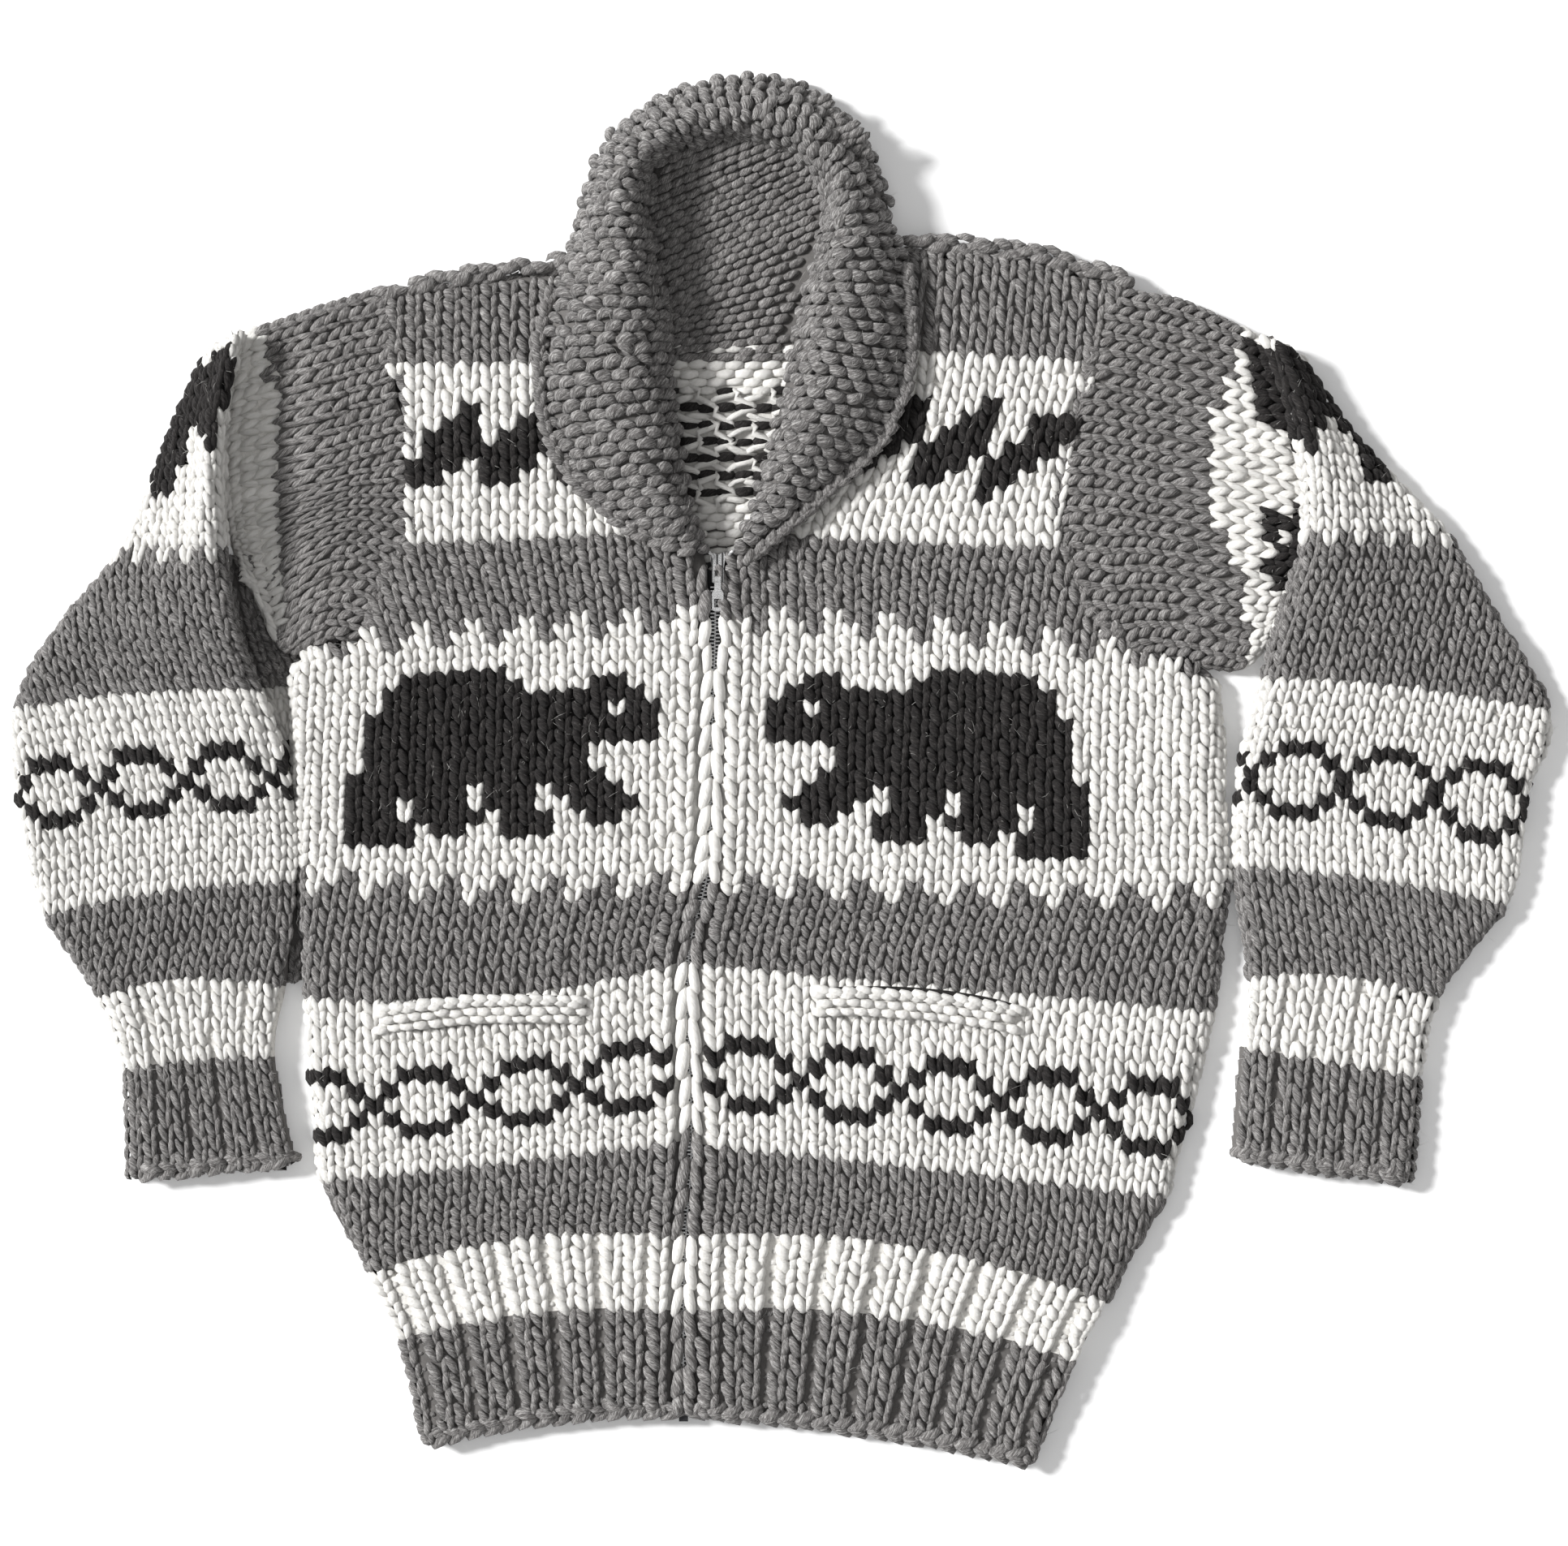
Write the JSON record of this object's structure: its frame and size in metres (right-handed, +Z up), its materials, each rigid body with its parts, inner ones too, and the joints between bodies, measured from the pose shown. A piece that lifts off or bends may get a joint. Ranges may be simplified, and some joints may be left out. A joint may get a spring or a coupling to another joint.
{
  "type": "cowichan cardigan",
  "caption": "Bulky hand-knit wool cardigan with a shawl collar, zip front, welt pockets and ribbed hem and cuffs, laid flat face up with both sleeves folded down.",
  "frame": {"origin": "centre of the bounding box at its base, on the surface that the garment lies on", "axes": "+Z up out of the front, +Y from the hem to the collar, +X across to the wearer's left sleeve, the widest way"},
  "size_m": [0.9512, 0.857, 0.0441],
  "materials": {
    "wool_grey": "matt, bulky heathered grey wool with natural white and dark brown knitted bands",
    "wool_white": "matt, natural white wool in garter stitch",
    "zip_tape": "matt, woven tape with a row of metal teeth on its edge",
    "zip_box": "satin",
    "zip_metal": "bright, cast"
  },
  "bodies": {
    "garment": {"back": "wool_grey", "front_left": "wool_grey", "front_right": "wool_grey", "sleeve_upper_left": "wool_grey", "sleeve_upper_right": "wool_grey", "sleeve_lower_left": "wool_grey", "sleeve_lower_right": "wool_grey", "collar_left": "wool_grey", "collar_right": "wool_grey", "collar_back": "wool_grey", "shoulder_seam_left": "wool_grey", "shoulder_seam_right": "wool_grey", "pocket_welt_left": "wool_white", "pocket_welt_right": "wool_white", "zip_tape_left": "zip_tape", "zip_tape_right": "zip_tape", "zip_box": "zip_box", "zip_slider": "zip_metal"},
    "pull": {"zip_pull": "zip_metal"}
  },
  "joints": [
    {"name": "pull_swing", "type": "hinge", "parent": "garment", "child": "pull", "pos_m": [-0.0398, 0.117, 0.0176], "axis": [-1, 0, 0], "range_deg": [0, 150]}
  ]
}
